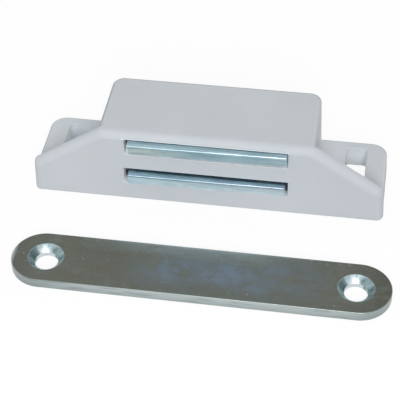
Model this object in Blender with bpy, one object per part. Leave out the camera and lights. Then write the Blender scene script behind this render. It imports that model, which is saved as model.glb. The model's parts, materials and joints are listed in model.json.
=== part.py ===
"""Magnetic cabinet catch: a moulded housing that holds two steel pole plates on a
ferrite magnet, and the countersunk steel strike plate that lies in front of it.

+X runs along the housing, +Y from its front face to its rear and +Z up from the
face that is screwed to the cabinet. The origin is the middle of the front wall's
foot. All sizes are in metres and all angles in degrees.
"""

from math import acos, ceil, cos, pi, radians, sin, sqrt, tan

import bmesh
import bpy
from mathutils import Matrix, Vector

# Pole plates and magnet, stacked from the snap lugs up to the roof
PLATE_THICKNESS = 0.0024
TONGUE_WIDTH = 0.0344
TONGUE_CORNER = 0.0004
SHOULDER_REACH = 0.00145
SHOULDER_DEPTH = 0.0115
SHOULDER_CORNER = 0.0010
PLATE_EDGE = 0.0002
PLATE_REACH = 0.0025
MAGNET_SIDE_INSET = 0.0006
MAGNET_FRONT_GAP = 0.0008
MAGNET_REAR_GAP = 0.0006
MAGNET_THICKNESS = 0.0062
MAGNET_CORNER = 0.0005
MAGNET_EDGE = 0.0002
STACK_BASE = 0.0058
STACK_GAP = 0.0001
ROOF_GAP = 0.0002

# How far each pole plate stands out of the front face, and how it lies in its slot
UPPER_PROTRUSION = 0.00156
UPPER_SHIFT = 0.0006
UPPER_TURN = 0.94
LOWER_PROTRUSION = 0.0013
LOWER_SHIFT = 0.0003
LOWER_TURN = 0.47

# Slots in the front wall
SLOT_HEIGHT = 0.0042
UPPER_SLOT_PLAY = 0.0007
LOWER_SLOT_PLAY = 0.0008
UPPER_SLOT_HEADROOM = 0.0001
LOWER_SLOT_HEADROOM = 0.0007

# Ribs inside the housing
GUIDE_PLAY = 0.0009
GUIDE_REACH = 0.00174
GUIDE_THICKNESS = 0.0016
GUIDE_FRONT_OFFSET = 0.0036
GUIDE_SPACING = 0.0066
LUG_REACH = 0.0021
LUG_NOSE = 0.0007
LUG_GAP = 0.00015
STOP_THICKNESS = 0.0014
STOP_SPACING = 0.0200
STOP_REACH = 0.0020
REAR_PLAY = 0.0009

# Housing, walls around the bay
FRONT_WALL = 0.0022
SIDE_WALL = 0.0020
REAR_WALL = 0.0018
ROOF = 0.0013
BAY_CORNER = 0.0012

# Housing, outside
BOX_DRAFT = 2.0
BOX_CORNER = 0.0023
BOX_FILLET = 0.0008
EAR_REACH = 0.01561
EAR_THICKNESS = 0.0052
EAR_INSET = 0.00015
EAR_CORNER = 0.0034
EAR_FILLET = 0.0005
END_DRAFT = 2.9
WING_SLOPE = 34.2
WING_TOP_INSET = 0.0003
WING_TOP_CORNER = 0.0040
WING_END_CORNER = 0.0025
FRONT_CORNER = 0.0020
FRONT_FILLET = 0.0018
FOOT_FILLET = 0.0004

# Screw slots in the ears
SCREW_SLOT_WIDTH = 0.0046
SCREW_SLOT_LENGTH = 0.0096
SCREW_SLOT_CORNER = 0.0009
SCREW_SLOT_OFFSET = 0.00846
SCREW_SLOT_RIM = 0.0021

# Strike plate, and where it lies
STRIKE_LENGTH = 0.0800
STRIKE_WIDTH = 0.0137
STRIKE_THICKNESS = 0.0024
STRIKE_EDGE = 0.00025
STRIKE_HOLE_RIM = 0.00738
STRIKE_HOLE_RADIUS = 0.00248
COUNTERSINK_RADIUS = 0.0039
COUNTERSINK_ANGLE = 90.0
STRIKE_DISTANCE = 0.01547
STRIKE_SHIFT = 0.0021
STRIKE_TURN = -0.05

# Modelling detail
ARC_STEP = 12.0
HOLE_SIDES = 48
FILLET_STEPS = 4
EDGE_STEPS = 2
SMOOTH_ANGLE = 32.0
OVERLAP = 0.0004

# Half widths, planes and levels that follow from the sizes
SHOULDER_HALF = TONGUE_WIDTH / 2 + SHOULDER_REACH
MAGNET_HALF = SHOULDER_HALF - MAGNET_SIDE_INSET
GUIDE_HALF = SHOULDER_HALF + GUIDE_PLAY
BAY_HALF = GUIDE_HALF + GUIDE_REACH
BOX_HALF = BAY_HALF + SIDE_WALL
HOUSING_HALF = BOX_HALF + EAR_REACH
FRONT = -FRONT_WALL / 2
BAY_FRONT = FRONT + FRONT_WALL
TONGUE_LENGTH = FRONT_WALL + PLATE_REACH
STOP_FACE = FRONT - LOWER_PROTRUSION + TONGUE_LENGTH + SHOULDER_DEPTH + REAR_PLAY
BAY_REAR = STOP_FACE + STOP_REACH
REAR = BAY_REAR + REAR_WALL
MAGNET_FRONT = BAY_FRONT + MAGNET_FRONT_GAP
MAGNET_DEPTH = STOP_FACE - MAGNET_REAR_GAP - MAGNET_FRONT
MAGNET_BASE = STACK_BASE + PLATE_THICKNESS + STACK_GAP
UPPER_PLATE_BASE = MAGNET_BASE + MAGNET_THICKNESS + STACK_GAP
UPPER_PLATE_TOP = UPPER_PLATE_BASE + PLATE_THICKNESS
LOWER_PLATE_TOP = STACK_BASE + PLATE_THICKNESS
CEILING = UPPER_PLATE_TOP + ROOF_GAP
HOUSING_HEIGHT = CEILING + ROOF


def material(name, colour, roughness, metallic):
    """Plain surface of one colour."""
    result = bpy.data.materials.new(name)
    result.use_nodes = True
    shader = result.node_tree.nodes["Principled BSDF"]
    shader.inputs["Base Color"].default_value = (*colour, 1.0)
    shader.inputs["Roughness"].default_value = roughness
    shader.inputs["Metallic"].default_value = metallic
    return result


def fillet_inset(depth, radius):
    """How far a fillet stands back from its wall, at a depth below the face that it rounds."""
    rest = max(radius - depth, 0.0)
    return radius - sqrt(radius * radius - rest * rest)


def fillet_depths(radius, steps):
    """Depths of the loops that make a fillet, from the face that it rounds to its wall."""
    return [radius * (1.0 - cos(pi / 2 * step / steps)) for step in range(steps + 1)]


def rounded(corners, depth=0.0):
    """Outline through corners (u, v, radius, fillet), at a depth below the face that it bounds.

    The corners run anticlockwise, and one with a radius gets an arc. The side that follows
    a corner is moved inwards as its fillet asks at that depth.
    """
    points = []
    count = len(corners)
    insets = [fillet_inset(depth, fillet) for _, _, _, fillet in corners]
    for index, (u, v, radius, _) in enumerate(corners):
        corner = Vector((u, v))
        before = (Vector(corners[index - 1][:2]) - corner).normalized()
        after = (Vector(corners[(index + 1) % count][:2]) - corner).normalized()
        angle = acos(before.dot(after))
        side = 1 if after.cross(before) > 0 else -1
        corner += (after * insets[index - 1] + before * insets[index]) * side / sin(angle)
        if radius == 0:
            points.append(corner)
            continue
        arc = radius - side * (insets[index - 1] + insets[index]) / 2
        centre = corner + (before + after).normalized() * arc / sin(angle / 2)
        start = corner + before * arc / tan(angle / 2) - centre
        sweep = side * (pi - angle)
        steps = ceil(abs(sweep) / radians(ARC_STEP))
        for step in range(steps + 1):
            points.append(centre + Matrix.Rotation(sweep * step / steps, 2) @ start)
    return points


def rectangle(x_low, x_high, y_low, y_high, radius=0.0, fillet=0.0):
    """Corners of a rectangle, all alike."""
    return [(x_low, y_low, radius, fillet), (x_high, y_low, radius, fillet),
            (x_high, y_high, radius, fillet), (x_low, y_high, radius, fillet)]


def add_loft(mesh, loops):
    """Closed solid through loops of as many points each, with flat ends."""
    rings = [[mesh.verts.new(point) for point in loop] for loop in loops]
    count = len(rings[0])
    for low, high in zip(rings, rings[1:]):
        for index in range(count):
            following = (index + 1) % count
            mesh.faces.new((low[index], low[following], high[following], high[index]))
    mesh.faces.new(rings[0])
    mesh.faces.new(rings[-1])


def level(outline, z):
    """Outline in X and Y, set at height z."""
    return [Vector((u, v, z)) for u, v in outline]


def upright(outline, y):
    """Outline in X and Z, set at depth y."""
    return [Vector((u, y, v)) for u, v in outline]


def add_block(mesh, x_low, x_high, y_low, y_high, z_low, z_high, radius=0.0):
    """Block with rounded upright edges."""
    outline = rounded(rectangle(x_low, x_high, y_low, y_high, radius))
    add_loft(mesh, [level(outline, z_low), level(outline, z_high)])


def add_plate(mesh, outline_at, thickness, edge):
    """Plate with rounded upper and lower edges, from its outline at a depth below its faces."""
    depths = fillet_depths(edge, EDGE_STEPS)
    low = [level(outline_at(depth), depth) for depth in depths]
    high = [level(outline_at(depth), thickness - depth) for depth in reversed(depths)]
    add_loft(mesh, low + high)


def build_object(name, mesh, surface=None, place=(0.0, 0.0, 0.0), turn=0.0):
    """Object of its own from a bmesh, shaded smooth across its rounded edges."""
    bmesh.ops.recalc_face_normals(mesh, faces=mesh.faces)
    data = bpy.data.meshes.new(name)
    mesh.to_mesh(data)
    mesh.free()
    data.shade_smooth()
    data.set_sharp_from_angle(angle=radians(SMOOTH_ANGLE))
    if surface:
        data.materials.append(surface)
    result = bpy.data.objects.new(name, data)
    result.location = place
    result.rotation_euler = (0.0, 0.0, radians(turn))
    bpy.context.scene.collection.objects.link(result)
    return result


def combine(target, tool, operation):
    """Join a tool to a target or cut it out, and keep the tool as a hidden guide."""
    tool.hide_render = True
    tool.display_type = 'WIRE'
    modifier = target.modifiers.new(tool.name, 'BOOLEAN')
    modifier.operation = operation
    modifier.solver = 'EXACT'
    modifier.object = tool


def front_wall_corners():
    """Front view of the housing: a tall middle with a sloping wing on either side."""
    slope = tan(radians(WING_SLOPE))
    draft = tan(radians(END_DRAFT))
    top_x = BOX_HALF - WING_TOP_INSET
    end_x = (HOUSING_HALF - draft * (HOUSING_HEIGHT + slope * top_x)) / (1 - draft * slope)
    end_z = HOUSING_HEIGHT - slope * (end_x - top_x)
    return [(-HOUSING_HALF, 0.0, 0.0, FOOT_FILLET), (HOUSING_HALF, 0.0, 0.0, FRONT_CORNER),
            (end_x, end_z, WING_END_CORNER, FRONT_FILLET),
            (top_x, HOUSING_HEIGHT, WING_TOP_CORNER, FRONT_FILLET),
            (-top_x, HOUSING_HEIGHT, WING_TOP_CORNER, FRONT_FILLET),
            (-end_x, end_z, WING_END_CORNER, FRONT_CORNER)]


def add_front_wall(mesh):
    """Front wall with its wings, rounded all along its front edge."""
    corners = front_wall_corners()
    depths = fillet_depths(FRONT_CORNER, FILLET_STEPS) + [FRONT_WALL]
    add_loft(mesh, [upright(rounded(corners, depth), FRONT + depth) for depth in depths])


def add_drafted_block(mesh, half, draft, y_low, corner, height, fillet):
    """Block that narrows upwards, with round rear corners and a rounded top edge."""
    loops = []
    for depth in [height] + fillet_depths(fillet, FILLET_STEPS)[::-1]:
        z = height - depth
        side = half - z * tan(radians(draft))
        corners = [(-side, y_low, 0.0, 0.0), (side, y_low, 0.0, fillet),
                   (side, REAR, corner, fillet), (-side, REAR, corner, fillet)]
        loops.append(level(rounded(corners, depth), z))
    add_loft(mesh, loops)


def add_bay(mesh):
    """Bay under the roof, open at the foot."""
    add_block(mesh, -BAY_HALF, BAY_HALF, BAY_FRONT, BAY_REAR, -OVERLAP, CEILING, BAY_CORNER)


def add_plate_slot(mesh, top, play):
    """Slot in the front wall for one pole plate."""
    half = TONGUE_WIDTH / 2 + play
    add_block(mesh, -half, half, FRONT - OVERLAP, BAY_FRONT + OVERLAP, top - SLOT_HEIGHT, top)


def add_screw_slot(mesh, side):
    """Slot through one ear, for a screw."""
    centre = side * (BOX_HALF + SCREW_SLOT_OFFSET)
    y_high = REAR - SCREW_SLOT_RIM
    add_block(mesh, centre - SCREW_SLOT_WIDTH / 2, centre + SCREW_SLOT_WIDTH / 2,
              y_high - SCREW_SLOT_LENGTH, y_high, -OVERLAP, EAR_THICKNESS + OVERLAP,
              SCREW_SLOT_CORNER)


def add_guide(mesh, side, y_middle):
    """Rib beside the plates, with a snap lug under the lower plate."""
    wall = side * (BAY_HALF + OVERLAP)
    guide = side * GUIDE_HALF
    nose = guide - side * LUG_REACH
    lug_top = STACK_BASE - LUG_GAP
    nose_foot = lug_top - LUG_NOSE
    wall_foot = nose_foot - abs(wall - nose)
    outline = [(wall, CEILING + OVERLAP), (guide, CEILING + OVERLAP), (guide, lug_top),
               (nose, lug_top), (nose, nose_foot), (wall, wall_foot)]
    half = GUIDE_THICKNESS / 2
    add_loft(mesh, [upright(outline, y_middle - half), upright(outline, y_middle + half)])


def add_stop(mesh, side):
    """Rib on the rear wall that stops the plates."""
    centre = side * STOP_SPACING / 2
    add_block(mesh, centre - STOP_THICKNESS / 2, centre + STOP_THICKNESS / 2,
              STOP_FACE, BAY_REAR + OVERLAP, STACK_BASE, CEILING + OVERLAP)


def build_housing():
    """White moulding: front wall, box, ears, bay, slots and inner ribs."""
    plastic = material("white_plastic", (0.62, 0.66, 0.70), 0.45, 0.0)

    wall = bmesh.new()
    add_front_wall(wall)
    housing = build_object("housing", wall, plastic)

    ears = bmesh.new()
    add_drafted_block(ears, HOUSING_HALF - EAR_INSET, END_DRAFT, BAY_FRONT - OVERLAP,
                      EAR_CORNER, EAR_THICKNESS, EAR_FILLET)
    combine(housing, build_object("ears_guide", ears), 'UNION')

    box = bmesh.new()
    foot_half = BOX_HALF + HOUSING_HEIGHT * tan(radians(BOX_DRAFT))
    add_drafted_block(box, foot_half, BOX_DRAFT, FRONT + FRONT_FILLET + OVERLAP / 2,
                      BOX_CORNER, HOUSING_HEIGHT, BOX_FILLET)
    combine(housing, build_object("box_guide", box), 'UNION')

    bay = bmesh.new()
    add_bay(bay)
    combine(housing, build_object("bay_guide", bay), 'DIFFERENCE')

    slots = bmesh.new()
    add_plate_slot(slots, UPPER_PLATE_TOP + UPPER_SLOT_HEADROOM, UPPER_SLOT_PLAY)
    add_plate_slot(slots, LOWER_PLATE_TOP + LOWER_SLOT_HEADROOM, LOWER_SLOT_PLAY)
    for side in (-1, 1):
        add_screw_slot(slots, side)
    combine(housing, build_object("slots_guide", slots), 'DIFFERENCE')

    ribs = bmesh.new()
    for side in (-1, 1):
        add_guide(ribs, side, BAY_FRONT + GUIDE_FRONT_OFFSET)
        add_guide(ribs, side, BAY_FRONT + GUIDE_FRONT_OFFSET + GUIDE_SPACING)
        add_stop(ribs, side)
    combine(housing, build_object("ribs_guide", ribs), 'UNION')


def build_pole_plate(name, steel, base, protrusion, shift, turn):
    """Steel plate with a tongue through its slot and shoulders that can't follow it."""
    tongue = TONGUE_WIDTH / 2
    shoulder = SHOULDER_HALF
    depth = TONGUE_LENGTH + SHOULDER_DEPTH
    outline = [(-tongue, 0.0, TONGUE_CORNER), (tongue, 0.0, TONGUE_CORNER),
               (tongue, TONGUE_LENGTH, 0.0),
               (shoulder, TONGUE_LENGTH, SHOULDER_CORNER), (shoulder, depth, SHOULDER_CORNER),
               (-shoulder, depth, SHOULDER_CORNER), (-shoulder, TONGUE_LENGTH, SHOULDER_CORNER),
               (-tongue, TONGUE_LENGTH, 0.0)]
    corners = [(*corner, PLATE_EDGE) for corner in outline]
    mesh = bmesh.new()
    add_plate(mesh, lambda depth: rounded(corners, depth), PLATE_THICKNESS, PLATE_EDGE)
    build_object(name, mesh, steel, (shift, FRONT - protrusion, base), turn)


def build_magnet():
    """Ferrite block between the pole plates."""
    ferrite = material("ferrite", (0.045, 0.043, 0.042), 0.7, 0.0)
    corners = rectangle(-MAGNET_HALF, MAGNET_HALF, 0.0, MAGNET_DEPTH, MAGNET_CORNER, MAGNET_EDGE)
    mesh = bmesh.new()
    add_plate(mesh, lambda depth: rounded(corners, depth), MAGNET_THICKNESS, MAGNET_EDGE)
    build_object("magnet", mesh, ferrite, (0.0, MAGNET_FRONT, MAGNET_BASE))


def add_countersunk_hole(mesh, x):
    """Round cutter for a countersunk screw hole through the strike plate."""
    cone_depth = (COUNTERSINK_RADIUS - STRIKE_HOLE_RADIUS) / tan(radians(COUNTERSINK_ANGLE / 2))
    spread = OVERLAP * tan(radians(COUNTERSINK_ANGLE / 2))
    profile = [(STRIKE_HOLE_RADIUS, -OVERLAP),
               (STRIKE_HOLE_RADIUS, STRIKE_THICKNESS - cone_depth),
               (COUNTERSINK_RADIUS + spread, STRIKE_THICKNESS + OVERLAP)]
    angles = [2 * pi * side / HOLE_SIDES for side in range(HOLE_SIDES)]
    add_loft(mesh, [[Vector((x + radius * cos(angle), radius * sin(angle), z))
                     for angle in angles] for radius, z in profile])


def strike_outline(depth):
    """Bar with round ends, at a depth below the face that it bounds."""
    end = STRIKE_WIDTH / 2
    straight = STRIKE_LENGTH / 2 - end
    radius = end - fillet_inset(depth, STRIKE_EDGE)
    steps = 2 * round(180.0 / ARC_STEP)
    return [Vector((side * (straight + radius * sin(pi * step / steps)),
                    -side * radius * cos(pi * step / steps)))
            for side in (1, -1) for step in range(steps + 1)]


def build_strike_plate(steel):
    """Flat steel bar with round ends and two countersunk holes."""
    mesh = bmesh.new()
    add_plate(mesh, strike_outline, STRIKE_THICKNESS, STRIKE_EDGE)
    middle_y = FRONT - STRIKE_DISTANCE - STRIKE_WIDTH / 2
    place = (STRIKE_SHIFT, middle_y, 0.0)
    strike = build_object("strike_plate", mesh, steel, place, STRIKE_TURN)

    holes = bmesh.new()
    for side in (-1, 1):
        add_countersunk_hole(holes, side * (STRIKE_LENGTH / 2 - STRIKE_HOLE_RIM))
    combine(strike, build_object("holes_guide", holes, None, place, STRIKE_TURN), 'DIFFERENCE')


def build_catch():
    """All five pieces of the catch."""
    for old in list(bpy.data.objects):
        bpy.data.objects.remove(old, do_unlink=True)
    steel = material("zinc_plated_steel", (0.42, 0.46, 0.46), 0.35, 1.0)
    build_housing()
    build_magnet()
    build_pole_plate("upper_pole_plate", steel, UPPER_PLATE_BASE,
                     UPPER_PROTRUSION, UPPER_SHIFT, UPPER_TURN)
    build_pole_plate("lower_pole_plate", steel, STACK_BASE,
                     LOWER_PROTRUSION, LOWER_SHIFT, LOWER_TURN)
    build_strike_plate(steel)


build_catch()
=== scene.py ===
"""Looks of the magnetic cabinet catch: finely rounded pieces, their surfaces, floor, light and camera.

Sizes are in metres and angles in degrees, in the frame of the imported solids.
"""

import json
from math import acos, ceil, cos, pi, radians, sin, sqrt, tan

import bmesh
import bpy
from mathutils import Matrix, Vector

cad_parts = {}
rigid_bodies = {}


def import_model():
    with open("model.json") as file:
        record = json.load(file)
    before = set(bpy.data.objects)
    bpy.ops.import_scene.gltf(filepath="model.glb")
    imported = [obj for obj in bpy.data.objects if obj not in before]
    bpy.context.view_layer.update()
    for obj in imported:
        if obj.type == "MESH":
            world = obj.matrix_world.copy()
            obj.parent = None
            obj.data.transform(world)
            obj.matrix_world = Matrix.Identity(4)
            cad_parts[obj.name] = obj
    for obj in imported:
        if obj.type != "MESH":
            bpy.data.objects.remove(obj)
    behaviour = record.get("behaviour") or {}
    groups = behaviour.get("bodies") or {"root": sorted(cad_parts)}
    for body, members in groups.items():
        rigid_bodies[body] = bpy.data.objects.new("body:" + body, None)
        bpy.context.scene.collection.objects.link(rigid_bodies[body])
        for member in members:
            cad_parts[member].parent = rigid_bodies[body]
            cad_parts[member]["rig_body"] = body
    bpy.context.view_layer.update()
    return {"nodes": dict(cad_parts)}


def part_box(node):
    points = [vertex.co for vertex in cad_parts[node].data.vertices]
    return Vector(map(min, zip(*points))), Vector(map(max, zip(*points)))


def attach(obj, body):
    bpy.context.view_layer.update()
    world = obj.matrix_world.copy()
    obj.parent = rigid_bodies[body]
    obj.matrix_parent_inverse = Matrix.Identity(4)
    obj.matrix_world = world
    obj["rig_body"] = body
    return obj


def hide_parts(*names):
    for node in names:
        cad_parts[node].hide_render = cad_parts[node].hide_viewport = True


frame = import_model()

# Outer size and place of the pieces, read from the solids
HOUSING_LOW, HOUSING_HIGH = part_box("housing")
UPPER_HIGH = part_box("upper_pole_plate")[1]
LOWER_LOW, LOWER_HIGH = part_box("lower_pole_plate")
MAGNET_LOW, MAGNET_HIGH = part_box("magnet")
STRIKE_LOW, STRIKE_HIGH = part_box("strike_plate")
FRONT = HOUSING_LOW.y
REAR = HOUSING_HIGH.y
HOUSING_HEIGHT = HOUSING_HIGH.z
HOUSING_HALF = HOUSING_HIGH.x

# Pole plates and magnet
TONGUE_WIDTH = 0.0344
TONGUE_CORNER = 0.0004
TONGUE_LENGTH = 0.0047
SHOULDER_HALF = 0.01865
SHOULDER_DEPTH = 0.0115
SHOULDER_CORNER = 0.0010
PLATE_EDGE = 0.0002
UPPER_PLACE = (0.0006, -0.00266)
UPPER_TURN = 0.94
LOWER_PLACE = (0.0003, -0.0024)
LOWER_TURN = 0.47
MAGNET_CORNER = 0.0005
MAGNET_EDGE = 0.0002

# Housing, inside
FRONT_WALL = 0.0022
BAY_HALF = 0.02129
BAY_REAR_WALL = 0.0018
BAY_CORNER = 0.0012
BAY_EDGE = 0.0002
ROOF = 0.0013
SLOT_HEIGHT = 0.0042
SLOT_CORNER = 0.0002
SLOT_EDGE = 0.00015
UPPER_SLOT_PLAY = 0.0007
LOWER_SLOT_PLAY = 0.0008
UPPER_SLOT_INSET = 0.00035
UPPER_SLOT_HEADROOM = 0.0001
LOWER_SLOT_HEADROOM = 0.0007
GUIDE_HALF = 0.01955
GUIDE_THICKNESS = 0.0016
GUIDE_FRONT_OFFSET = 0.0036
GUIDE_SPACING = 0.0066
LUG_REACH = 0.0021
LUG_NOSE = 0.0007
LUG_GAP = 0.00015
STOP_THICKNESS = 0.0014
STOP_SPACING = 0.0200
STOP_REACH = 0.0020

# Housing, outside
BOX_HALF = 0.02329
BOX_DRAFT = 2.0
BOX_CORNER = 0.0026
BOX_FILLET = 0.0008
EAR_THICKNESS = 0.0052
EAR_INSET = 0.00015
EAR_CORNER = 0.0034
EAR_FILLET = 0.0005
END_DRAFT = 2.9
WING_SLOPE = 34.2
WING_TOP_INSET = 0.0003
WING_TOP_CORNER = 0.0040
WING_END_CORNER = 0.0025
FRONT_CORNER = 0.0020
FRONT_FILLET = 0.0018
FOOT_FILLET = 0.0004
FOOT_CORNER = 0.0003
WING_REAR_EDGE = 0.0003
SCREW_SLOT_WIDTH = 0.0046
SCREW_SLOT_LENGTH = 0.0096
SCREW_SLOT_CORNER = 0.0009
SCREW_SLOT_OFFSET = 0.00846
SCREW_SLOT_RIM = 0.0021
SCREW_SLOT_EDGE = 0.0002

# Strike plate
STRIKE_LENGTH = 0.0800
STRIKE_WIDTH = 0.0137
STRIKE_EDGE = 0.00025
STRIKE_TURN = -0.05
STRIKE_HOLE_RIM = 0.00738
STRIKE_HOLE_RADIUS = 0.00248
COUNTERSINK_RADIUS = 0.0039
COUNTERSINK_ANGLE = 90.0
COUNTERSINK_EDGE = 0.00012

# Modelling detail
ARC_STEP = 5.0
HOLE_SIDES = 96
FILLET_STEPS = 8
EDGE_STEPS = 4
SMOOTH_ANGLE = 30.0
OVERLAP = 0.0004
SMALLEST_ARC = 0.00001

# Camera
CAMERA_PLACE = Vector((0.0369917, -0.2095653, 0.2035138))
CAMERA_YAW = 10.3916
CAMERA_PITCH = 43.6376
CAMERA_ROLL = -1.8367
CAMERA_LENS = 119.71
SENSOR_WIDTH = 36.0

# Light and floor
WORLD_LEVEL = 0.68
KEY_LEVEL = 0.55
KEY_DISTANCE = 0.70
KEY_SIZE = 0.30
KEY_AZIMUTH = 10.0
KEY_ELEVATION = 34.0
FLOOR_SIZE = 6.0
FLOOR_COLOUR = 0.98
FLOOR_BOUNCE = 0.60
FLOOR_WHITE = 0.90

# White plastic: its grains, where its colours and its painted light and shade change, how deep its
# grain is, and its colours, many of them painted light and shade
PLASTIC_CLOUDS = 90.0
PLASTIC_SPECKS = 2600.0
PLASTIC_SHADE_START = 0.016
EAR_BLEND = 0.0006
EAR_DEPTHS = (0.0120, 0.0175)
EAR_OUTER_SPAN = (0.0275, 0.0315)
BOX_SIDE_MARGIN = 0.0010
BOX_SIDE_TOP = 0.0140
RIGHT_SLOT_DEEP = 0.0020
LEFT_SLOT_DEEP = 0.0042
SLOT_SIDES_HALF = 0.01
PLASTIC_SPECK_DEPTH = 0.00002
PLASTIC_CLOUD_DEPTH = 0.0002
PLASTIC_SUBSURFACE = 0.25
PLASTIC_SUBSURFACE_REACH = 0.0015
PLASTIC_SPECULAR = 0.08
PLASTIC_DARK = (0.530, 0.562, 0.592, 1.0)
PLASTIC_LIGHT = (0.550, 0.582, 0.612, 1.0)
# Painted shade towards the right end
PLASTIC_RIGHT_SHADE = (0.500, 0.532, 0.562, 1.0)
# Painted shade on the rear and left upper fillets
PLASTIC_RIM_SHADE = (0.400, 0.425, 0.450, 1.0)
PLASTIC_SPECK = (0.42, 0.45, 0.48, 1.0)
# Painted light on the ear tops
EAR_FRONT_PAINTED_LIGHT = (0.790, 0.822, 0.852, 1.0)
EAR_REAR_PAINTED_LIGHT = (0.650, 0.682, 0.712, 1.0)
EAR_OUTER_PAINTED_LIGHT = (0.540, 0.572, 0.602, 1.0)
EAR_LEFT_PAINTED_LIGHT = (0.605, 0.637, 0.667, 1.0)
# Painted light on the box's right wall
BOX_SIDE_PAINTED_LIGHT = (0.700, 0.735, 0.770, 1.0)
# Painted light inside the pole plates' slots
PLATE_SLOT_WALL_PAINTED_LIGHT = (0.820, 0.855, 0.890, 1.0)
PLATE_SLOT_LEFT_END_PAINTED_LIGHT = (0.970, 0.980, 0.990, 1.0)
# Painted light inside the screw slots, at their top and foot
RIGHT_SLOT_TOP_PAINTED_LIGHT = (0.650, 0.690, 0.730, 1.0)
RIGHT_SLOT_FOOT_PAINTED_LIGHT = (0.940, 0.975, 1.000, 1.0)
LEFT_SLOT_TOP_PAINTED_LIGHT = (0.730, 0.775, 0.815, 1.0)
LEFT_SLOT_FOOT_PAINTED_LIGHT = (0.900, 0.952, 1.000, 1.0)

# Pole plates: their grains, where the top takes a painted reflection before its slot and painted shade
# inside it, and the colours, many of them painted highlights, reflections and shade
POLE_STREAKS = (90.0, 2600.0, 2600.0)
POLE_PATCHES = (220.0, 700.0, 900.0)
POLE_INNER_DEPTHS = (FRONT - 0.0011, FRONT - 0.0004)
POLE_INSIDE_DEPTHS = (FRONT - 0.0001, FRONT + 0.0001)
POLE_RIGHT = (0.40, 0.46, 0.48, 1.0)
# Painted shade on the top inside the slot
POLE_INSIDE_SHADE = (0.04, 0.07, 0.11, 1.0)
# Painted highlight along the upper edges
POLE_RIDGE_HIGHLIGHT_LEFT = (0.47, 0.67, 0.74, 1.0)
POLE_RIDGE_HIGHLIGHT_RIGHT = (0.55, 0.61, 0.68, 1.0)
POLE_STREAK = (0.66, 0.80, 0.85, 1.0)
POLE_PATCH = (0.15, 0.26, 0.34, 1.0)
# Painted reflections and shade: each plate has its own lit copy of the same zinc steel, for its lower
# and upper front, front rim, left end, top and the top before its slot.
UPPER_PLATE_PAINTED_LIGHT = {
    "front_low_reflection": (0.46, 0.60, 0.67, 1.0), "front_high_reflection": (0.29, 0.45, 0.52, 1.0),
    "front_rim_reflection": (0.50, 0.66, 0.74, 1.0), "front_left_reflection": (0.88, 1.00, 1.00, 1.0),
    "top_left_reflection": (0.26, 0.40, 0.45, 1.0), "top_right_reflection": (0.27, 0.38, 0.42, 1.0),
    "top_near_wall_reflection": (0.25, 0.38, 0.42, 1.0)}
LOWER_PLATE_PAINTED_LIGHT = {
    "front_low_reflection": (0.56, 0.67, 0.72, 1.0), "front_high_reflection": (0.37, 0.49, 0.56, 1.0),
    "front_rim_reflection": (0.09, 0.13, 0.16, 1.0), "front_left_reflection": (0.42, 0.58, 0.65, 1.0),
    "top_left_reflection": (0.45, 0.69, 0.88, 1.0), "top_right_reflection": (0.46, 0.62, 0.84, 1.0),
    "top_near_wall_reflection": (0.72, 0.95, 1.00, 1.0)}

# Strike plate: its grains, and the colours of its face, sides, upper rim and countersinks, among them
# painted reflection, highlights and shade
STRIKE_CLOUDS = 230.0
STRIKE_MOTTLE = 900.0
STRIKE_SPECKS = 1500.0
STRIKE_RUST = (150.0, 420.0, 420.0)
STRIKE_LAYERS = (160.0, 160.0, 2200.0)
SINK_TURNING = 5.0
FACE_PLAIN = (0.120, 0.130, 0.106, 1.0)
FACE_BLUE = (0.142, 0.192, 0.250, 1.0)
# Painted reflection on the rear of the face
FACE_REAR_REFLECTION = (0.27, 0.32, 0.33, 1.0)
FACE_ENDS = (0.085, 0.090, 0.070, 1.0)
FACE_RIGHT_END = (0.070, 0.075, 0.058, 1.0)
FACE_RUSTY = (0.125, 0.112, 0.088, 1.0)
FACE_CLOUD = (0.17, 0.195, 0.185, 1.0)
FACE_MOTTLE = (0.20, 0.22, 0.21, 1.0)
FACE_SPECK = (0.42, 0.46, 0.46, 1.0)
# Painted highlight along the rear and left edges of the face
FACE_EDGE_HIGHLIGHT = (0.36, 0.40, 0.41, 1.0)
SIDE_LOW = (0.36, 0.41, 0.41, 1.0)
SIDE_HIGH = (0.48, 0.54, 0.54, 1.0)
SIDE_ENDS = (0.21, 0.25, 0.26, 1.0)
SIDE_LAYER = (0.20, 0.23, 0.23, 1.0)
# Painted shade, then painted highlights, on the upper rim
RIM_ENDS_SHADE = (0.20, 0.23, 0.22, 1.0)
RIM_MIDDLE_SHADE = (0.24, 0.28, 0.28, 1.0)
RIM_REAR_HIGHLIGHT = (0.42, 0.47, 0.47, 1.0)
RIM_LEFT_HIGHLIGHT = (0.38, 0.41, 0.40, 1.0)
SINK_DARK = (0.14, 0.21, 0.22, 1.0)
SINK_LIGHT = (0.38, 0.49, 0.51, 1.0)
# Painted highlight and painted shade on the countersinks
SINK_HIGHLIGHT = (0.60, 0.67, 0.70, 1.0)
SINK_SHADE = (0.10, 0.15, 0.16, 1.0)
# Directions of the painted highlight and the painted shade
HIGHLIGHT_DIRECTION = (0.34, -0.94, 0.0)
SHADE_DIRECTION = (0.67, -0.21, 0.71)

# Ferrite: its grains and colours, and how deep its grit and the grain of the steel are
FERRITE_GRIT = 3000.0
FERRITE_PATCHES = 400.0
FERRITE_DARK = (0.028, 0.028, 0.030, 1.0)
FERRITE_LIGHT = (0.075, 0.072, 0.070, 1.0)
FERRITE_DUST = (0.09, 0.085, 0.08, 1.0)
GRAIN_DEPTH = 0.00003


def fillet_inset(depth, radius):
    """How far a fillet stands back from its wall, at a depth below the face that it rounds."""
    rest = max(radius - depth, 0.0)
    return radius - sqrt(radius * radius - rest * rest)


def fillet_depths(radius, steps=FILLET_STEPS):
    """Depths of the loops that make a fillet, from the face that it rounds to its wall."""
    return [radius * (1.0 - cos(pi / 2 * step / steps)) for step in range(steps + 1)]


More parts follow.
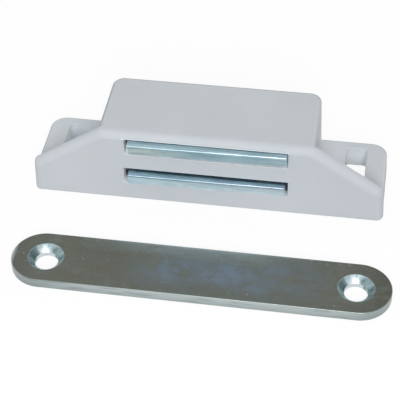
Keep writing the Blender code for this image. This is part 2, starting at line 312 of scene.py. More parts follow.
def rounded(corners, depth=0.0):
    """Outline through corners (u, v, radius, fillet), at a depth below the face that it bounds.

    The corners run anticlockwise, and one with a radius gets an arc. The side that follows
    a corner is moved inwards as its fillet asks at that depth.
    """
    points = []
    count = len(corners)
    insets = [fillet_inset(depth, fillet) for _, _, _, fillet in corners]
    for index, (u, v, radius, _) in enumerate(corners):
        corner = Vector((u, v))
        before = (Vector(corners[index - 1][:2]) - corner).normalized()
        after = (Vector(corners[(index + 1) % count][:2]) - corner).normalized()
        angle = acos(before.dot(after))
        side = 1 if after.cross(before) > 0 else -1
        corner += (after * insets[index - 1] + before * insets[index]) * side / sin(angle)
        if radius == 0:
            points.append(corner)
            continue
        arc = max(radius - side * (insets[index - 1] + insets[index]) / 2, SMALLEST_ARC)
        centre = corner + (before + after).normalized() * arc / sin(angle / 2)
        start = corner + before * arc / tan(angle / 2) - centre
        sweep = side * (pi - angle)
        steps = ceil(abs(sweep) / radians(ARC_STEP))
        for step in range(steps + 1):
            points.append(centre + Matrix.Rotation(sweep * step / steps, 2) @ start)
    return points


def rectangle(x_low, x_high, y_low, y_high, radius=0.0, fillet=0.0):
    """Corners of a rectangle, all alike."""
    return [(x_low, y_low, radius, fillet), (x_high, y_low, radius, fillet),
            (x_high, y_high, radius, fillet), (x_low, y_high, radius, fillet)]


def widened(x_low, x_high, y_low, y_high, radius, spread):
    """Outline of a rounded rectangle that is spread outwards all round."""
    return rounded(rectangle(x_low - spread, x_high + spread, y_low - spread, y_high + spread,
                             radius + spread))


def add_loft(mesh, loops):
    """Closed solid through loops of as many points each, with flat ends."""
    rings = [[mesh.verts.new(point) for point in loop] for loop in loops]
    count = len(rings[0])
    for low, high in zip(rings, rings[1:]):
        for index in range(count):
            following = (index + 1) % count
            mesh.faces.new((low[index], low[following], high[following], high[index]))
    mesh.faces.new(rings[0])
    mesh.faces.new(rings[-1])


def level(outline, z):
    """Outline in X and Y, set at height z."""
    return [Vector((u, v, z)) for u, v in outline]


def upright(outline, y):
    """Outline in X and Z, set at depth y."""
    return [Vector((u, y, v)) for u, v in outline]


def add_block(mesh, x_low, x_high, y_low, y_high, z_low, z_high, radius=0.0):
    """Block with rounded upright edges."""
    outline = rounded(rectangle(x_low, x_high, y_low, y_high, radius))
    add_loft(mesh, [level(outline, z_low), level(outline, z_high)])


def add_plate(mesh, outline_at, z_low, z_high, edge):
    """Plate with rounded upper and lower edges, from its outline at a depth below its faces."""
    depths = fillet_depths(edge, EDGE_STEPS)
    low = [level(outline_at(depth), z_low + depth) for depth in depths]
    high = [level(outline_at(depth), z_high - depth) for depth in reversed(depths)]
    add_loft(mesh, low + high)


def new_object(name, mesh):
    """Object from a bmesh, with its faces pointing outwards."""
    bmesh.ops.recalc_face_normals(mesh, faces=mesh.faces)
    data = bpy.data.meshes.new(name)
    mesh.to_mesh(data)
    mesh.free()
    result = bpy.data.objects.new(name, data)
    bpy.context.scene.collection.objects.link(result)
    return result


def combine(target, tool, operation):
    """Join a tool to a target, or cut it out."""
    modifier = target.modifiers.new(tool.name, 'BOOLEAN')
    modifier.operation = operation
    modifier.solver = 'MANIFOLD'
    modifier.object = tool
    depsgraph = bpy.context.evaluated_depsgraph_get()
    data = bpy.data.meshes.new_from_object(target.evaluated_get(depsgraph))
    target.modifiers.clear()
    target.data = data
    bpy.data.objects.remove(tool, do_unlink=True)


def finish_piece(piece, node, surface):
    """Smooth a piece, give it its surface and let it stand for a CAD node."""
    data = piece.data
    data.materials.clear()
    data.materials.append(surface)
    for face in data.polygons:
        face.material_index = 0
    data.shade_smooth()
    data.set_sharp_from_angle(angle=radians(SMOOTH_ANGLE))
    shading = piece.modifiers.new("even_shading", 'WEIGHTED_NORMAL')
    shading.keep_sharp = True
    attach(piece, frame["nodes"][node]["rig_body"])
    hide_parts(node)


def front_wall_corners(front):
    """Corners of the housing's front view, with the fillets of its front or its rear edge."""
    slope = tan(radians(WING_SLOPE))
    draft = tan(radians(END_DRAFT))
    top_x = BOX_HALF - WING_TOP_INSET
    end_x = (HOUSING_HALF - draft * (HOUSING_HEIGHT + slope * top_x)) / (1 - draft * slope)
    end_z = HOUSING_HEIGHT - slope * (end_x - top_x)
    foot, end, top = (FOOT_FILLET, FRONT_CORNER, FRONT_FILLET) if front else (
        0.0, WING_REAR_EDGE, WING_REAR_EDGE)
    return [(-HOUSING_HALF, 0.0, FOOT_CORNER, foot), (HOUSING_HALF, 0.0, FOOT_CORNER, end),
            (end_x, end_z, WING_END_CORNER, top), (top_x, HOUSING_HEIGHT, WING_TOP_CORNER, top),
            (-top_x, HOUSING_HEIGHT, WING_TOP_CORNER, top),
            (-end_x, end_z, WING_END_CORNER, end)]


def add_front_wall(mesh):
    """Front wall with its wings, rounded along its front and rear edges."""
    front = front_wall_corners(True)
    rear = front_wall_corners(False)
    loops = [upright(rounded(front, depth), FRONT + depth) for depth in fillet_depths(FRONT_CORNER)]
    for depth in reversed(fillet_depths(WING_REAR_EDGE, EDGE_STEPS)[:-1]):
        loops.append(upright(rounded(rear, depth), FRONT + FRONT_WALL - depth))
    add_loft(mesh, loops)


def add_drafted_block(mesh, half, draft, y_low, corner, height, fillet):
    """Block that narrows upwards, with round rear corners and rounded edges."""
    loops = []
    foot = fillet_depths(FOOT_CORNER, EDGE_STEPS)
    top = fillet_depths(fillet)
    for z in foot + [height - depth for depth in reversed(top)]:
        side = half - z * tan(radians(draft)) - fillet_inset(z, FOOT_CORNER)
        rear = REAR - fillet_inset(z, FOOT_CORNER)
        corners = [(-side, y_low, 0.0, 0.0), (side, y_low, 0.0, fillet),
                   (side, rear, corner, fillet), (-side, rear, corner, fillet)]
        loops.append(level(rounded(corners, height - z), z))
    add_loft(mesh, loops)


def add_bay(mesh):
    """Bay under the roof, open at the foot, with a rounded mouth."""
    loops = [-OVERLAP] + fillet_depths(BAY_EDGE, EDGE_STEPS) + [HOUSING_HEIGHT - ROOF]
    y_low = FRONT + FRONT_WALL
    y_high = REAR - BAY_REAR_WALL
    add_loft(mesh, [level(widened(-BAY_HALF, BAY_HALF, y_low, y_high, BAY_CORNER,
                                  fillet_inset(max(z, 0.0), BAY_EDGE)), z) for z in loops])


def add_plate_slot(mesh, top, play, inset=0.0):
    """Slot in the front wall for one pole plate, with a rounded mouth."""
    half = TONGUE_WIDTH / 2 + play
    depths = [-OVERLAP] + fillet_depths(SLOT_EDGE, EDGE_STEPS) + [FRONT_WALL + OVERLAP]
    add_loft(mesh, [upright(widened(inset - half, half, top - SLOT_HEIGHT, top, SLOT_CORNER,
                                    fillet_inset(max(depth, 0.0), SLOT_EDGE)), FRONT + depth)
                    for depth in depths])


def add_screw_slot(mesh, side):
    """Slot through one ear, with rounded mouths."""
    centre = side * (BOX_HALF + SCREW_SLOT_OFFSET)
    y_high = REAR - SCREW_SLOT_RIM
    mouth = fillet_depths(SCREW_SLOT_EDGE, EDGE_STEPS)
    heights = [-OVERLAP] + mouth + [EAR_THICKNESS - depth for depth in reversed(mouth)]
    loops = []
    for z in heights + [EAR_THICKNESS + OVERLAP]:
        depth = max(min(z, EAR_THICKNESS - z), 0.0)
        loops.append(level(widened(centre - SCREW_SLOT_WIDTH / 2, centre + SCREW_SLOT_WIDTH / 2,
                                   y_high - SCREW_SLOT_LENGTH, y_high, SCREW_SLOT_CORNER,
                                   fillet_inset(depth, SCREW_SLOT_EDGE)), z))
    add_loft(mesh, loops)


def add_guide(mesh, side, y_middle):
    """Rib beside the plates, with a snap lug under the lower plate."""
    wall = side * (BAY_HALF + OVERLAP)
    guide = side * GUIDE_HALF
    nose = guide - side * LUG_REACH
    ceiling = HOUSING_HEIGHT - ROOF + OVERLAP
    lug_top = LOWER_LOW.z - LUG_GAP
    nose_foot = lug_top - LUG_NOSE
    wall_foot = nose_foot - abs(wall - nose)
    outline = [(wall, ceiling), (guide, ceiling), (guide, lug_top),
               (nose, lug_top), (nose, nose_foot), (wall, wall_foot)]
    half = GUIDE_THICKNESS / 2
    add_loft(mesh, [upright(outline, y_middle - half), upright(outline, y_middle + half)])


def add_stop(mesh, side):
    """Rib on the rear wall that stops the plates."""
    centre = side * STOP_SPACING / 2
    bay_rear = REAR - BAY_REAR_WALL
    add_block(mesh, centre - STOP_THICKNESS / 2, centre + STOP_THICKNESS / 2,
              bay_rear - STOP_REACH, bay_rear + OVERLAP, LOWER_LOW.z,
              HOUSING_HEIGHT - ROOF + OVERLAP)


def build_housing(surface):
    """White moulding: front wall, box, ears, bay, slots and inner ribs."""
    wall = bmesh.new()
    add_front_wall(wall)
    housing = new_object("housing_fine", wall)

    ears = bmesh.new()
    add_drafted_block(ears, HOUSING_HALF - EAR_INSET, END_DRAFT, FRONT + FRONT_WALL - OVERLAP,
                      EAR_CORNER, EAR_THICKNESS, EAR_FILLET)
    combine(housing, new_object("ears", ears), 'UNION')

    box = bmesh.new()
    foot_half = BOX_HALF + HOUSING_HEIGHT * tan(radians(BOX_DRAFT))
    add_drafted_block(box, foot_half, BOX_DRAFT, FRONT + FRONT_FILLET + OVERLAP / 2,
                      BOX_CORNER, HOUSING_HEIGHT, BOX_FILLET)
    combine(housing, new_object("box", box), 'UNION')

    bay = bmesh.new()
    add_bay(bay)
    combine(housing, new_object("bay", bay), 'DIFFERENCE')

    upper_slot = bmesh.new()
    add_plate_slot(upper_slot, UPPER_HIGH.z + UPPER_SLOT_HEADROOM, UPPER_SLOT_PLAY,
                   UPPER_SLOT_INSET)
    combine(housing, new_object("upper_slot", upper_slot), 'DIFFERENCE')

    lower_slot = bmesh.new()
    add_plate_slot(lower_slot, LOWER_HIGH.z + LOWER_SLOT_HEADROOM, LOWER_SLOT_PLAY)
    combine(housing, new_object("lower_slot", lower_slot), 'DIFFERENCE')

    screw_slots = bmesh.new()
    for side in (-1, 1):
        add_screw_slot(screw_slots, side)
    combine(housing, new_object("screw_slots", screw_slots), 'DIFFERENCE')

    ribs = bmesh.new()
    first_guide = FRONT + FRONT_WALL + GUIDE_FRONT_OFFSET
    for side in (-1, 1):
        add_guide(ribs, side, first_guide)
        add_guide(ribs, side, first_guide + GUIDE_SPACING)
        add_stop(ribs, side)
    combine(housing, new_object("ribs", ribs), 'UNION')
    finish_piece(housing, "housing", surface)


def build_pole_plate(node, surface, place, turn):
    """Steel plate with a tongue through its slot and shoulders that can't follow it."""
    low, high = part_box(node)
    tongue = TONGUE_WIDTH / 2
    shoulder = SHOULDER_HALF
    length = TONGUE_LENGTH + SHOULDER_DEPTH
    outline = [(-tongue, 0.0, TONGUE_CORNER), (tongue, 0.0, TONGUE_CORNER),
               (tongue, TONGUE_LENGTH, 0.0),
               (shoulder, TONGUE_LENGTH, SHOULDER_CORNER), (shoulder, length, SHOULDER_CORNER),
               (-shoulder, length, SHOULDER_CORNER), (-shoulder, TONGUE_LENGTH, SHOULDER_CORNER),
               (-tongue, TONGUE_LENGTH, 0.0)]
    corners = [(*corner, PLATE_EDGE) for corner in outline]
    mesh = bmesh.new()
    add_plate(mesh, lambda depth: rounded(corners, depth), low.z, high.z, PLATE_EDGE)
    spot = Matrix.Translation((*place, 0.0)) @ Matrix.Rotation(radians(turn), 4, 'Z')
    bmesh.ops.transform(mesh, matrix=spot, verts=mesh.verts)
    finish_piece(new_object(node + "_fine", mesh), node, surface)


def build_magnet(surface):
    """Ferrite block between the pole plates."""
    corners = rectangle(MAGNET_LOW.x, MAGNET_HIGH.x, MAGNET_LOW.y, MAGNET_HIGH.y,
                        MAGNET_CORNER, MAGNET_EDGE)
    mesh = bmesh.new()
    add_plate(mesh, lambda depth: rounded(corners, depth), MAGNET_LOW.z, MAGNET_HIGH.z, MAGNET_EDGE)
    finish_piece(new_object("magnet_fine", mesh), "magnet", surface)


def strike_outline(depth):
    """Bar with round ends, at a depth below the face that it bounds."""
    end = STRIKE_WIDTH / 2
    straight = STRIKE_LENGTH / 2 - end
    radius = end - fillet_inset(depth, STRIKE_EDGE)
    steps = 2 * round(90.0 / ARC_STEP)
    return [Vector((side * (straight + radius * sin(pi * step / steps)),
                    -side * radius * cos(pi * step / steps)))
            for side in (1, -1) for step in range(steps + 1)]


def add_countersunk_hole(mesh, x, thickness):
    """Round cutter for a countersunk screw hole, with its upper rim broken."""
    slope = tan(radians(COUNTERSINK_ANGLE / 2))
    cone_depth = (COUNTERSINK_RADIUS - STRIKE_HOLE_RADIUS) / slope
    profile = [(STRIKE_HOLE_RADIUS, -OVERLAP), (STRIKE_HOLE_RADIUS, thickness - cone_depth),
               (COUNTERSINK_RADIUS - COUNTERSINK_EDGE * slope, thickness - COUNTERSINK_EDGE),
               (COUNTERSINK_RADIUS + COUNTERSINK_EDGE, thickness),
               (COUNTERSINK_RADIUS + COUNTERSINK_EDGE, thickness + OVERLAP)]
    angles = [2 * pi * side / HOLE_SIDES for side in range(HOLE_SIDES)]
    add_loft(mesh, [[Vector((x + radius * cos(angle), radius * sin(angle), z))
                     for angle in angles] for radius, z in profile])


def build_strike_plate(surface):
    """Flat steel bar with round ends and two countersunk holes."""
    middle = (STRIKE_LOW + STRIKE_HIGH) / 2
    spot = Matrix.Translation((middle.x, middle.y, 0.0)) @ Matrix.Rotation(
        radians(STRIKE_TURN), 4, 'Z')
    bar = bmesh.new()
    add_plate(bar, strike_outline, STRIKE_LOW.z, STRIKE_HIGH.z, STRIKE_EDGE)
    holes = bmesh.new()
    for side in (-1, 1):
        add_countersunk_hole(holes, side * (STRIKE_LENGTH / 2 - STRIKE_HOLE_RIM), STRIKE_HIGH.z)
    for mesh in (bar, holes):
        bmesh.ops.transform(mesh, matrix=spot, verts=mesh.verts)
    strike = new_object("strike_plate_fine", bar)
    combine(strike, new_object("holes", holes), 'DIFFERENCE')
    finish_piece(strike, "strike_plate", surface)


def add_node(tree, kind, inputs=None, output=0, **settings):
    """Output of a new node, whose inputs are values or other nodes' outputs."""
    node = tree.nodes.new("ShaderNode" + kind)
    for key, value in settings.items():
        setattr(node, key, value)
    for key, value in (inputs or {}).items():
        if isinstance(value, bpy.types.NodeSocket):
            tree.links.new(value, node.inputs[key])
        else:
            node.inputs[key].default_value = value
    return node.outputs[output]


def calculate(tree, operation, *values):
    """Output of a Math node."""
    return add_node(tree, "Math", dict(enumerate(values)), operation=operation)


def product(tree, first, *others):
    """Output of Math nodes that multiply all the values."""
    for other in others:
        first = calculate(tree, 'MULTIPLY', first, other)
    return first


def between(tree, value, low, high):
    """1 where a value lies between two limits, and 0 elsewhere."""
    return product(tree, calculate(tree, 'GREATER_THAN', value, low),
                   calculate(tree, 'LESS_THAN', value, high))


def spread_value(tree, value, low, high, first=0.0, last=1.0):
    """Value mapped from low and high to first and last, without going past them."""
    return add_node(tree, "MapRange", {0: value, 1: low, 2: high, 3: first, 4: last})


def blend_colours(tree, factor, first, second):
    """Output of a colour mix, from first at factor 0 to second at 1."""
    return add_node(tree, "Mix", {0: factor, 6: first, 7: second}, output=2, data_type='RGBA')


def tinted(tree, base, tint, value, low, high, first=0.0, last=1.0):
    """Base colour with a share of tint that goes from first to last between low and high."""
    return blend_colours(tree, spread_value(tree, value, low, high, first, last), base, tint)


def axes_of(tree, vector):
    """X, Y and Z of a vector."""
    node = tree.nodes.new("ShaderNodeSeparateXYZ")
    tree.links.new(vector, node.inputs[0])
    return tuple(node.outputs)


def grain(tree, place, scale, detail=2.0, roughness=0.5):
    """Noise value around 0.5, in features of one over the scale."""
    return add_node(tree, "TexNoise", {"Vector": place, "Scale": scale, "Detail": detail,
                                       "Roughness": roughness})


def stretched_grain(tree, place, scales, detail, roughness):
    """Noise value around 0.5, with a scale of its own along each axis."""
    stretched = add_node(tree, "Mapping", {"Vector": place, "Scale": scales})
    return grain(tree, stretched, 1.0, detail, roughness)


def toward(tree, normal, direction, low, high):
    """How closely a normal follows a direction, from 0 at a low to 1 at a high dot product."""
    along = add_node(tree, "VectorMath", {0: normal, 1: direction}, output=1,
                     operation='DOT_PRODUCT')
    return spread_value(tree, along, low, high)


def grey(level):
    """Opaque grey."""
    return (level, level, level, 1.0)


def new_material(name):
    """New material, its node tree and its shader."""
    result = bpy.data.materials.new(name)
    result.use_nodes = True
    return result, result.node_tree, result.node_tree.nodes["Principled BSDF"]


def white_plastic():
    """Satin moulded plastic, with a fine moulded grain, painted light on its ear tops, the box's right
    wall and the walls inside its slots, and painted shade towards its right end and on its rear and
    left upper fillets.
    """
    surface, tree, shader = new_material("white_plastic")
    coordinates = tree.nodes.new("ShaderNodeTexCoord").outputs
    place = coordinates["Object"]
    across, depth, height = axes_of(tree, place)
    rightward, rearward, upward = axes_of(tree, coordinates["Normal"])
    reach = calculate(tree, 'ABSOLUTE', across)
    behind = calculate(tree, 'GREATER_THAN', depth, FRONT + FRONT_WALL)

    clouds = grain(tree, place, PLASTIC_CLOUDS, 3.0)
    specks = grain(tree, place, PLASTIC_SPECKS, 2.0)
    tint = tinted(tree, PLASTIC_DARK, PLASTIC_LIGHT, clouds, 0.35, 0.65)
    # Painted shade: the plastic darkens towards its right end.
    tint = tinted(tree, tint, PLASTIC_RIGHT_SHADE, across, PLASTIC_SHADE_START, HOUSING_HALF, 0.0, 0.9)

    # Painted light on the ear tops: on the right ear lightest towards the front wall and less towards
    # its outer end, on the left ear one lighter tone.
    ear_light_share = product(tree, behind, spread_value(tree, height, EAR_THICKNESS,
                                                EAR_THICKNESS + EAR_BLEND, 1.0, 0.0),
                     spread_value(tree, upward, 0.3, 0.8))
    painted_ear_light = tinted(tree, EAR_FRONT_PAINTED_LIGHT, EAR_REAR_PAINTED_LIGHT, depth, *EAR_DEPTHS)
    painted_ear_light = tinted(tree, painted_ear_light, EAR_OUTER_PAINTED_LIGHT, across, *EAR_OUTER_SPAN, 0.0, 0.90)
    painted_ear_light = tinted(tree, EAR_LEFT_PAINTED_LIGHT, painted_ear_light, across, -BOX_HALF, BOX_HALF)
    tint = blend_colours(tree, ear_light_share, tint, painted_ear_light)
    # Painted light on the box's right wall, strongest low down near the ear.
    side_light_share = product(tree, spread_value(tree, rightward, 0.6, 0.9),
                      calculate(tree, 'LESS_THAN', across, BOX_HALF + BOX_SIDE_MARGIN),
                      spread_value(tree, height, BOX_SIDE_TOP, EAR_THICKNESS))
    tint = blend_colours(tree, side_light_share, tint, BOX_SIDE_PAINTED_LIGHT)

    middle = BOX_HALF + SCREW_SLOT_OFFSET
    half = SCREW_SLOT_WIDTH / 2 + SCREW_SLOT_EDGE
    rear = REAR - SCREW_SLOT_RIM
    at_slot = product(tree, between(tree, reach, middle - half, middle + half),
                      between(tree, depth, rear - SCREW_SLOT_LENGTH - SCREW_SLOT_EDGE,
                              rear + SCREW_SLOT_EDGE))
    # Painted shade on the upper fillets that face rearwards or to the left, kept off the screw slots.
    rim = product(tree, calculate(tree, 'SUBTRACT', behind, at_slot),
                  spread_value(tree, rightward, -0.15, -0.45))
    rim = calculate(tree, 'MAXIMUM', rim, spread_value(tree, rearward, 0.03, 0.15))
    rim = product(tree, calculate(tree, 'SUBTRACT', rim, at_slot),
                  spread_value(tree, upward, 0.20, 0.40))
    tint = blend_colours(tree, rim, tint, PLASTIC_RIM_SHADE)

    # Painted light on the walls inside the pole plates' slots, lightest on the walls that face right.
    slot_low = LOWER_HIGH.z + LOWER_SLOT_HEADROOM - SLOT_HEIGHT - SLOT_EDGE
    slot_high = UPPER_HIGH.z + UPPER_SLOT_HEADROOM + SLOT_EDGE
    slot_wall_light_share = product(tree, between(tree, height, slot_low, slot_high),
                      between(tree, depth, FRONT + SLOT_EDGE / 3, FRONT + FRONT_WALL),
                      calculate(tree, 'LESS_THAN', reach,
                                TONGUE_WIDTH / 2 + LOWER_SLOT_PLAY + SLOT_EDGE))
    painted_slot_light = tinted(tree, PLATE_SLOT_WALL_PAINTED_LIGHT, PLATE_SLOT_LEFT_END_PAINTED_LIGHT, rightward, 0.3, 0.7)
    tint = blend_colours(tree, slot_wall_light_share, tint, painted_slot_light)
    # Painted light inside the screw slots, lighter towards their foot, each ear with its own colours.
    screw_slot_light_share = product(tree, at_slot, spread_value(tree, height, EAR_THICKNESS - SCREW_SLOT_EDGE,
                                                 EAR_THICKNESS, 1.0, 0.0))
    right_slot_light = tinted(tree, RIGHT_SLOT_TOP_PAINTED_LIGHT, RIGHT_SLOT_FOOT_PAINTED_LIGHT, height, EAR_THICKNESS,
                        RIGHT_SLOT_DEEP)
    left_slot_light = tinted(tree, LEFT_SLOT_TOP_PAINTED_LIGHT, LEFT_SLOT_FOOT_PAINTED_LIGHT, height, EAR_THICKNESS,
                       LEFT_SLOT_DEEP)
    deep = tinted(tree, left_slot_light, right_slot_light, across, -SLOT_SIDES_HALF, SLOT_SIDES_HALF)
    tint = blend_colours(tree, screw_slot_light_share, tint, deep)
    tint = tinted(tree, tint, PLASTIC_SPECK, specks, 0.3, 0.7, 0.0, 0.06)

    tree.links.new(tint, shader.inputs["Base Color"])
    tree.links.new(spread_value(tree, specks, 0.3, 0.7, 0.40, 0.50), shader.inputs["Roughness"])
    shader.inputs["Subsurface Weight"].default_value = PLASTIC_SUBSURFACE
    shader.inputs["Subsurface Radius"].default_value = (1.0, 1.0, 1.0)
    shader.inputs["Subsurface Scale"].default_value = PLASTIC_SUBSURFACE_REACH
    shader.inputs["Specular IOR Level"].default_value = PLASTIC_SPECULAR
    fine = add_node(tree, "Bump", {"Height": specks, "Strength": 0.25,
                                   "Distance": PLASTIC_SPECK_DEPTH})
    soft = add_node(tree, "Bump", {"Height": clouds, "Strength": 0.3,
                                   "Distance": PLASTIC_CLOUD_DEPTH, "Normal": fine})
    tree.links.new(soft, shader.inputs["Normal"])
    return surface


def zinc_surface(made, tint, roughness, height):
    """Metal surface from its colour, roughness and height."""
    surface, tree, shader = made
    tree.links.new(tint, shader.inputs["Base Color"])
    tree.links.new(roughness, shader.inputs["Roughness"])
    shader.inputs["Metallic"].default_value = 1.0
    bump = add_node(tree, "Bump", {"Height": height, "Strength": 0.5, "Distance": GRAIN_DEPTH})
    tree.links.new(bump, shader.inputs["Normal"])
    return surface


def pole_steel(name, front_low_reflection, front_high_reflection, front_rim_reflection, front_left_reflection, top_left_reflection, top_right_reflection, top_near_wall_reflection):
    """Zinc plated steel with rolling streaks, for a pole plate, with painted reflections and shade on
    its front and top and a painted highlight along its upper edges.
    """
    made = new_material(name)
    tree = made[1]
    coordinates = tree.nodes.new("ShaderNodeTexCoord").outputs
    place = coordinates["Object"]
    facing = axes_of(tree, coordinates["Normal"])[2]
    along, _, height = axes_of(tree, coordinates["Generated"])
    depth = axes_of(tree, place)[1]
    streaks = stretched_grain(tree, place, POLE_STREAKS, 4.0, 0.65)
    patches = stretched_grain(tree, place, POLE_PATCHES, 3.0, 0.6)

    # Painted reflections on the front: lighter low down, darker high up, with tones of their own at
    # the left end and along the top of the face; the front also greys towards its right end.
    side = tinted(tree, front_low_reflection, front_high_reflection, height, 0.05, 0.80)
    leftmost = product(tree, spread_value(tree, along, 0.10, 0.45, 0.95, 0.0),
                       spread_value(tree, height, 0.0, 0.45, 0.5, 1.0))
    side = blend_colours(tree, leftmost, side, front_left_reflection)
    side = tinted(tree, side, POLE_RIGHT, along, 0.55, 1.0, 0.0, 0.40)
    side = tinted(tree, side, front_rim_reflection, height, 0.74, 0.86)
    # Painted reflections on the top, with a painted reflection just before the slot and painted shade
    # inside it.
    top = blend_colours(tree, along, top_left_reflection, top_right_reflection)
    top = tinted(tree, top, top_near_wall_reflection, depth, *POLE_INNER_DEPTHS)
    top = tinted(tree, top, POLE_INSIDE_SHADE, depth, *POLE_INSIDE_DEPTHS, 0.0, 0.9)
    # Painted highlight along the rounded upper edges.
    ridge_highlight = tinted(tree, POLE_RIDGE_HIGHLIGHT_LEFT, POLE_RIDGE_HIGHLIGHT_RIGHT, along, 0.3, 1.0)
    tint = tinted(tree, side, top, facing, 0.85, 1.0)
    ridge_highlight_share = product(tree, spread_value(tree, facing, 0.15, 0.45),
                    spread_value(tree, facing, 0.97, 0.80))
    tint = blend_colours(tree, ridge_highlight_share, tint, ridge_highlight)
    tint = tinted(tree, tint, POLE_STREAK, streaks, 0.35, 0.65, 0.0, 0.40)
    tint = tinted(tree, tint, POLE_PATCH, patches, 0.40, 0.62, 0.0, 0.25)
    roughness = spread_value(tree, streaks, 0.3, 0.7, 0.24, 0.38)
    return zinc_surface(made, tint, roughness, streaks)


def strike_steel():
    """Zinc plated steel with a clouded face, sheared sides and turned countersinks, with a painted
    reflection on the rear of its face, painted highlights along its edges and painted light and shade
    on its upper rim and countersinks.
    """
    made = new_material("strike_steel")
    tree = made[1]
    coordinates = tree.nodes.new("ShaderNodeTexCoord").outputs
    place = coordinates["Object"]
    normal = coordinates["Normal"]
    facing = axes_of(tree, normal)[2]
    along, across, height = axes_of(tree, coordinates["Generated"])
    offset = calculate(tree, 'ABSOLUTE', calculate(tree, 'SUBTRACT', along, 0.5))
    centred = calculate(tree, 'ABSOLUTE', calculate(tree, 'SUBTRACT', across, 0.5))
    middle = spread_value(tree, offset, 0.10, 0.34, 1.0, 0.0)

    clouds = grain(tree, place, STRIKE_CLOUDS, 4.0, 0.6)
    mottle = grain(tree, place, STRIKE_MOTTLE, 3.0, 0.6)
    specks = grain(tree, place, STRIKE_SPECKS, 0.0)
    rusty = stretched_grain(tree, place, STRIKE_RUST, 3.0, 0.6)
    bluing = product(tree, spread_value(tree, along, 0.30, 0.41),
                     spread_value(tree, along, 0.88, 0.70),
                     spread_value(tree, clouds, 0.34, 0.66),
                     spread_value(tree, centred, 0.15, 0.40, 1.0, 0.2))
    face = blend_colours(tree, bluing, FACE_PLAIN, FACE_BLUE)
    # Painted reflection of the housing: the face is lighter along its rear in the middle.
    rear = product(tree, spread_value(tree, across, 0.70, 1.0), middle, 0.75)
    face = blend_colours(tree, rear, face, FACE_REAR_REFLECTION)
    face = tinted(tree, face, FACE_ENDS, offset, 0.40, 0.50, 0.0, 0.5)
    face = tinted(tree, face, FACE_RIGHT_END, along, 0.86, 0.98, 0.0, 0.6)
    face = tinted(tree, face, FACE_RUSTY, rusty, 0.50, 0.68, 0.0, 0.50)
    face = tinted(tree, face, FACE_CLOUD, clouds, 0.32, 0.46, 0.35, 0.0)
    face = tinted(tree, face, FACE_MOTTLE, mottle, 0.35, 0.65, 0.0, 0.24)
    face = tinted(tree, face, FACE_SPECK, specks, 0.85, 0.92, 0.0, 0.6)
    # Painted highlight along the face's rear edge in the middle and at its left end.
    edge_highlight = product(tree, spread_value(tree, across, 0.94, 1.0), middle)
    edge_highlight = calculate(tree, 'MAXIMUM', edge_highlight, spread_value(tree, along, 0.004, 0.012, 1.0, 0.0))
    face = blend_colours(tree, edge_highlight, face, FACE_EDGE_HIGHLIGHT)

    layers = stretched_grain(tree, place, STRIKE_LAYERS, 3.0, 0.6)
    side = tinted(tree, SIDE_LOW, SIDE_HIGH, height, 0.05, 0.85)
    side = tinted(tree, side, SIDE_ENDS, offset, 0.36, 0.48, 0.0, 0.50)
    side = tinted(tree, side, SIDE_ENDS, along, 0.30, 0.08, 0.0, 0.30)
    side = tinted(tree, side, SIDE_LAYER, layers, 0.50, 0.64, 0.0, 0.45)
    # Painted shade on the upper rim to damp the lamp's highlight, with painted highlights at its rear
    # and left end.
    rim = blend_colours(tree, middle, RIM_ENDS_SHADE, RIM_MIDDLE_SHADE)
    rim = tinted(tree, rim, RIM_REAR_HIGHLIGHT, across, 0.80, 0.98)
    rim = tinted(tree, rim, RIM_LEFT_HIGHLIGHT, along, 0.02, 0.06, 1.0, 0.0)
    side = tinted(tree, side, rim, facing, 0.15, 0.60)
    ragged = calculate(tree, 'ADD', facing, spread_value(tree, mottle, 0.3, 0.7, -0.06, 0.06))
    plain = tinted(tree, side, face, ragged, 0.80, 0.98)

    turned = grain(tree, normal, SINK_TURNING, 4.0, 0.7)
    sink = tinted(tree, SINK_DARK, SINK_LIGHT, turned, 0.38, 0.60)
    # Painted highlight on the countersinks' rear flanks, and painted shade on their left flanks.
    sink_highlight = toward(tree, normal, HIGHLIGHT_DIRECTION, 0.55, 0.70)
    sink = blend_colours(tree, sink_highlight, sink, SINK_HIGHLIGHT)
    shade = toward(tree, normal, SHADE_DIRECTION, 0.94, 0.99)
    sink = blend_colours(tree, shade, sink, SINK_SHADE)
    from_hole = calculate(tree, 'ABSOLUTE', calculate(
        tree, 'SUBTRACT', offset, 0.5 - STRIKE_HOLE_RIM / STRIKE_LENGTH))
    in_hole = product(tree, calculate(tree, 'LESS_THAN', from_hole,
                                      COUNTERSINK_RADIUS / STRIKE_LENGTH),
                      calculate(tree, 'LESS_THAN', centred, COUNTERSINK_RADIUS / STRIKE_WIDTH),
                      between(tree, facing, -0.5, 0.93))
    tint = blend_colours(tree, in_hole, plain, sink)
    roughness = spread_value(tree, mottle, 0.3, 0.7, 0.30, 0.44)
    return zinc_surface(made, tint, roughness, mottle)


def ferrite():
    """Dark pressed ceramic, slightly dusty."""
    surface, tree, shader = new_material("ferrite")
    place = tree.nodes.new("ShaderNodeTexCoord").outputs["Object"]
    grit = grain(tree, place, FERRITE_GRIT, 3.0)
    patches = grain(tree, place, FERRITE_PATCHES, 3.0)
    tint = tinted(tree, FERRITE_DARK, FERRITE_LIGHT, grit, 0.35, 0.7)
    tint = tinted(tree, tint, FERRITE_DUST, patches, 0.45, 0.75, 0.0, 0.4)
    tree.links.new(tint, shader.inputs["Base Color"])
    tree.links.new(spread_value(tree, grit, 0.3, 0.7, 0.6, 0.8), shader.inputs["Roughness"])
    bump = add_node(tree, "Bump", {"Height": grit, "Strength": 0.4, "Distance": GRAIN_DEPTH})
    tree.links.new(bump, shader.inputs["Normal"])
    return surface


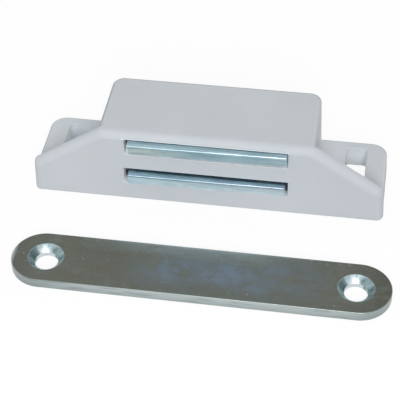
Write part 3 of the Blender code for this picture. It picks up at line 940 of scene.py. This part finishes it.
def seen_directly(tree):
    """Value that is 1 for camera, glossy and transmission rays."""
    path = tree.nodes.new("ShaderNodeLightPath").outputs
    seen = calculate(tree, 'MAXIMUM', path["Is Camera Ray"], path["Is Glossy Ray"])
    return calculate(tree, 'MAXIMUM', seen, path["Is Transmission Ray"])


def add_world():
    """Even soft light, which shows as plain white behind the object."""
    world = bpy.data.worlds.new("studio")
    world.use_nodes = True
    bpy.context.scene.world = world
    tree = world.node_tree
    white = grey(1.0)
    light = add_node(tree, "Background", {"Color": white, "Strength": WORLD_LEVEL})
    shown = add_node(tree, "Background", {"Color": white, "Strength": 1.0})
    mix = add_node(tree, "MixShader", {0: seen_directly(tree), 1: light, 2: shown})
    tree.links.new(mix, tree.nodes["World Output"].inputs["Surface"])


def add_key_light():
    """Large soft lamp on the camera's side."""
    azimuth = radians(KEY_AZIMUTH)
    elevation = radians(KEY_ELEVATION)
    direction = Vector((sin(azimuth) * cos(elevation), -cos(azimuth) * cos(elevation),
                        sin(elevation)))
    data = bpy.data.lights.new("key_light", 'AREA')
    data.shape = 'DISK'
    data.size = KEY_SIZE
    data.energy = KEY_LEVEL * (pi * KEY_DISTANCE) ** 2
    lamp = bpy.data.objects.new("key_light", data)
    lamp.location = direction * KEY_DISTANCE
    lamp.rotation_euler = direction.to_track_quat('Z', 'Y').to_euler()
    bpy.context.scene.collection.objects.link(lamp)


def add_floor():
    """White floor that keeps the object's shadow, and is left dark under the open bay."""
    half = FLOOR_SIZE / 2
    mesh = bmesh.new()
    mesh.faces.new([mesh.verts.new(Vector((u, v, 0.0))) for u, v in
                    rounded(rectangle(-half, half, -half, half))])
    floor = new_object("floor", mesh)
    surface, tree, shader = new_material("floor_white")
    seen = seen_directly(tree)
    white = blend_colours(tree, seen, grey(FLOOR_BOUNCE), grey(FLOOR_COLOUR))
    tree.links.new(white, shader.inputs["Base Color"])
    shader.inputs["Roughness"].default_value = 1.0
    shader.inputs["Specular IOR Level"].default_value = 0.0
    place = tree.nodes.new("ShaderNodeTexCoord").outputs["Object"]
    across, depth, _ = axes_of(tree, place)
    in_bay = product(tree, between(tree, across, -BAY_HALF, BAY_HALF),
                     between(tree, depth, FRONT + FRONT_WALL, REAR - BAY_REAR_WALL))
    share = product(tree, spread_value(tree, in_bay, 0.0, 1.0, FLOOR_WHITE, 0.0), seen)
    glow = add_node(tree, "Emission", {"Strength": 1.0})
    mix = add_node(tree, "MixShader", {0: share, 1: shader.outputs[0], 2: glow})
    tree.links.new(mix, tree.nodes["Material Output"].inputs["Surface"])
    floor.data.materials.append(surface)


def add_camera():
    """Camera at the photograph's viewing angle."""
    yaw = radians(CAMERA_YAW)
    pitch = radians(CAMERA_PITCH)
    roll = radians(CAMERA_ROLL)
    forward = Vector((-sin(yaw) * cos(pitch), cos(yaw) * cos(pitch), -sin(pitch)))
    level_right = Vector((cos(yaw), sin(yaw), 0.0))
    level_up = level_right.cross(forward)
    right = level_right * cos(roll) + level_up * sin(roll)
    up = level_up * cos(roll) - level_right * sin(roll)
    data = bpy.data.cameras.new("camera")
    data.sensor_width = SENSOR_WIDTH
    data.lens = CAMERA_LENS
    camera = bpy.data.objects.new("camera", data)
    axes = Matrix((right, up, -forward)).transposed().to_4x4()
    camera.matrix_world = Matrix.Translation(CAMERA_PLACE) @ axes
    bpy.context.scene.collection.objects.link(camera)
    bpy.context.scene.camera = camera


def build_scene():
    """Pieces, floor, light and camera."""
    build_housing(white_plastic())
    build_magnet(ferrite())
    build_pole_plate("upper_pole_plate", pole_steel("upper_pole_steel_painted_light", **UPPER_PLATE_PAINTED_LIGHT),
                     UPPER_PLACE, UPPER_TURN)
    build_pole_plate("lower_pole_plate", pole_steel("lower_pole_steel_painted_light", **LOWER_PLATE_PAINTED_LIGHT),
                     LOWER_PLACE, LOWER_TURN)
    build_strike_plate(strike_steel())
    add_floor()
    add_world()
    add_key_light()
    add_camera()
    bpy.context.scene.view_settings.view_transform = 'Standard'


build_scene()
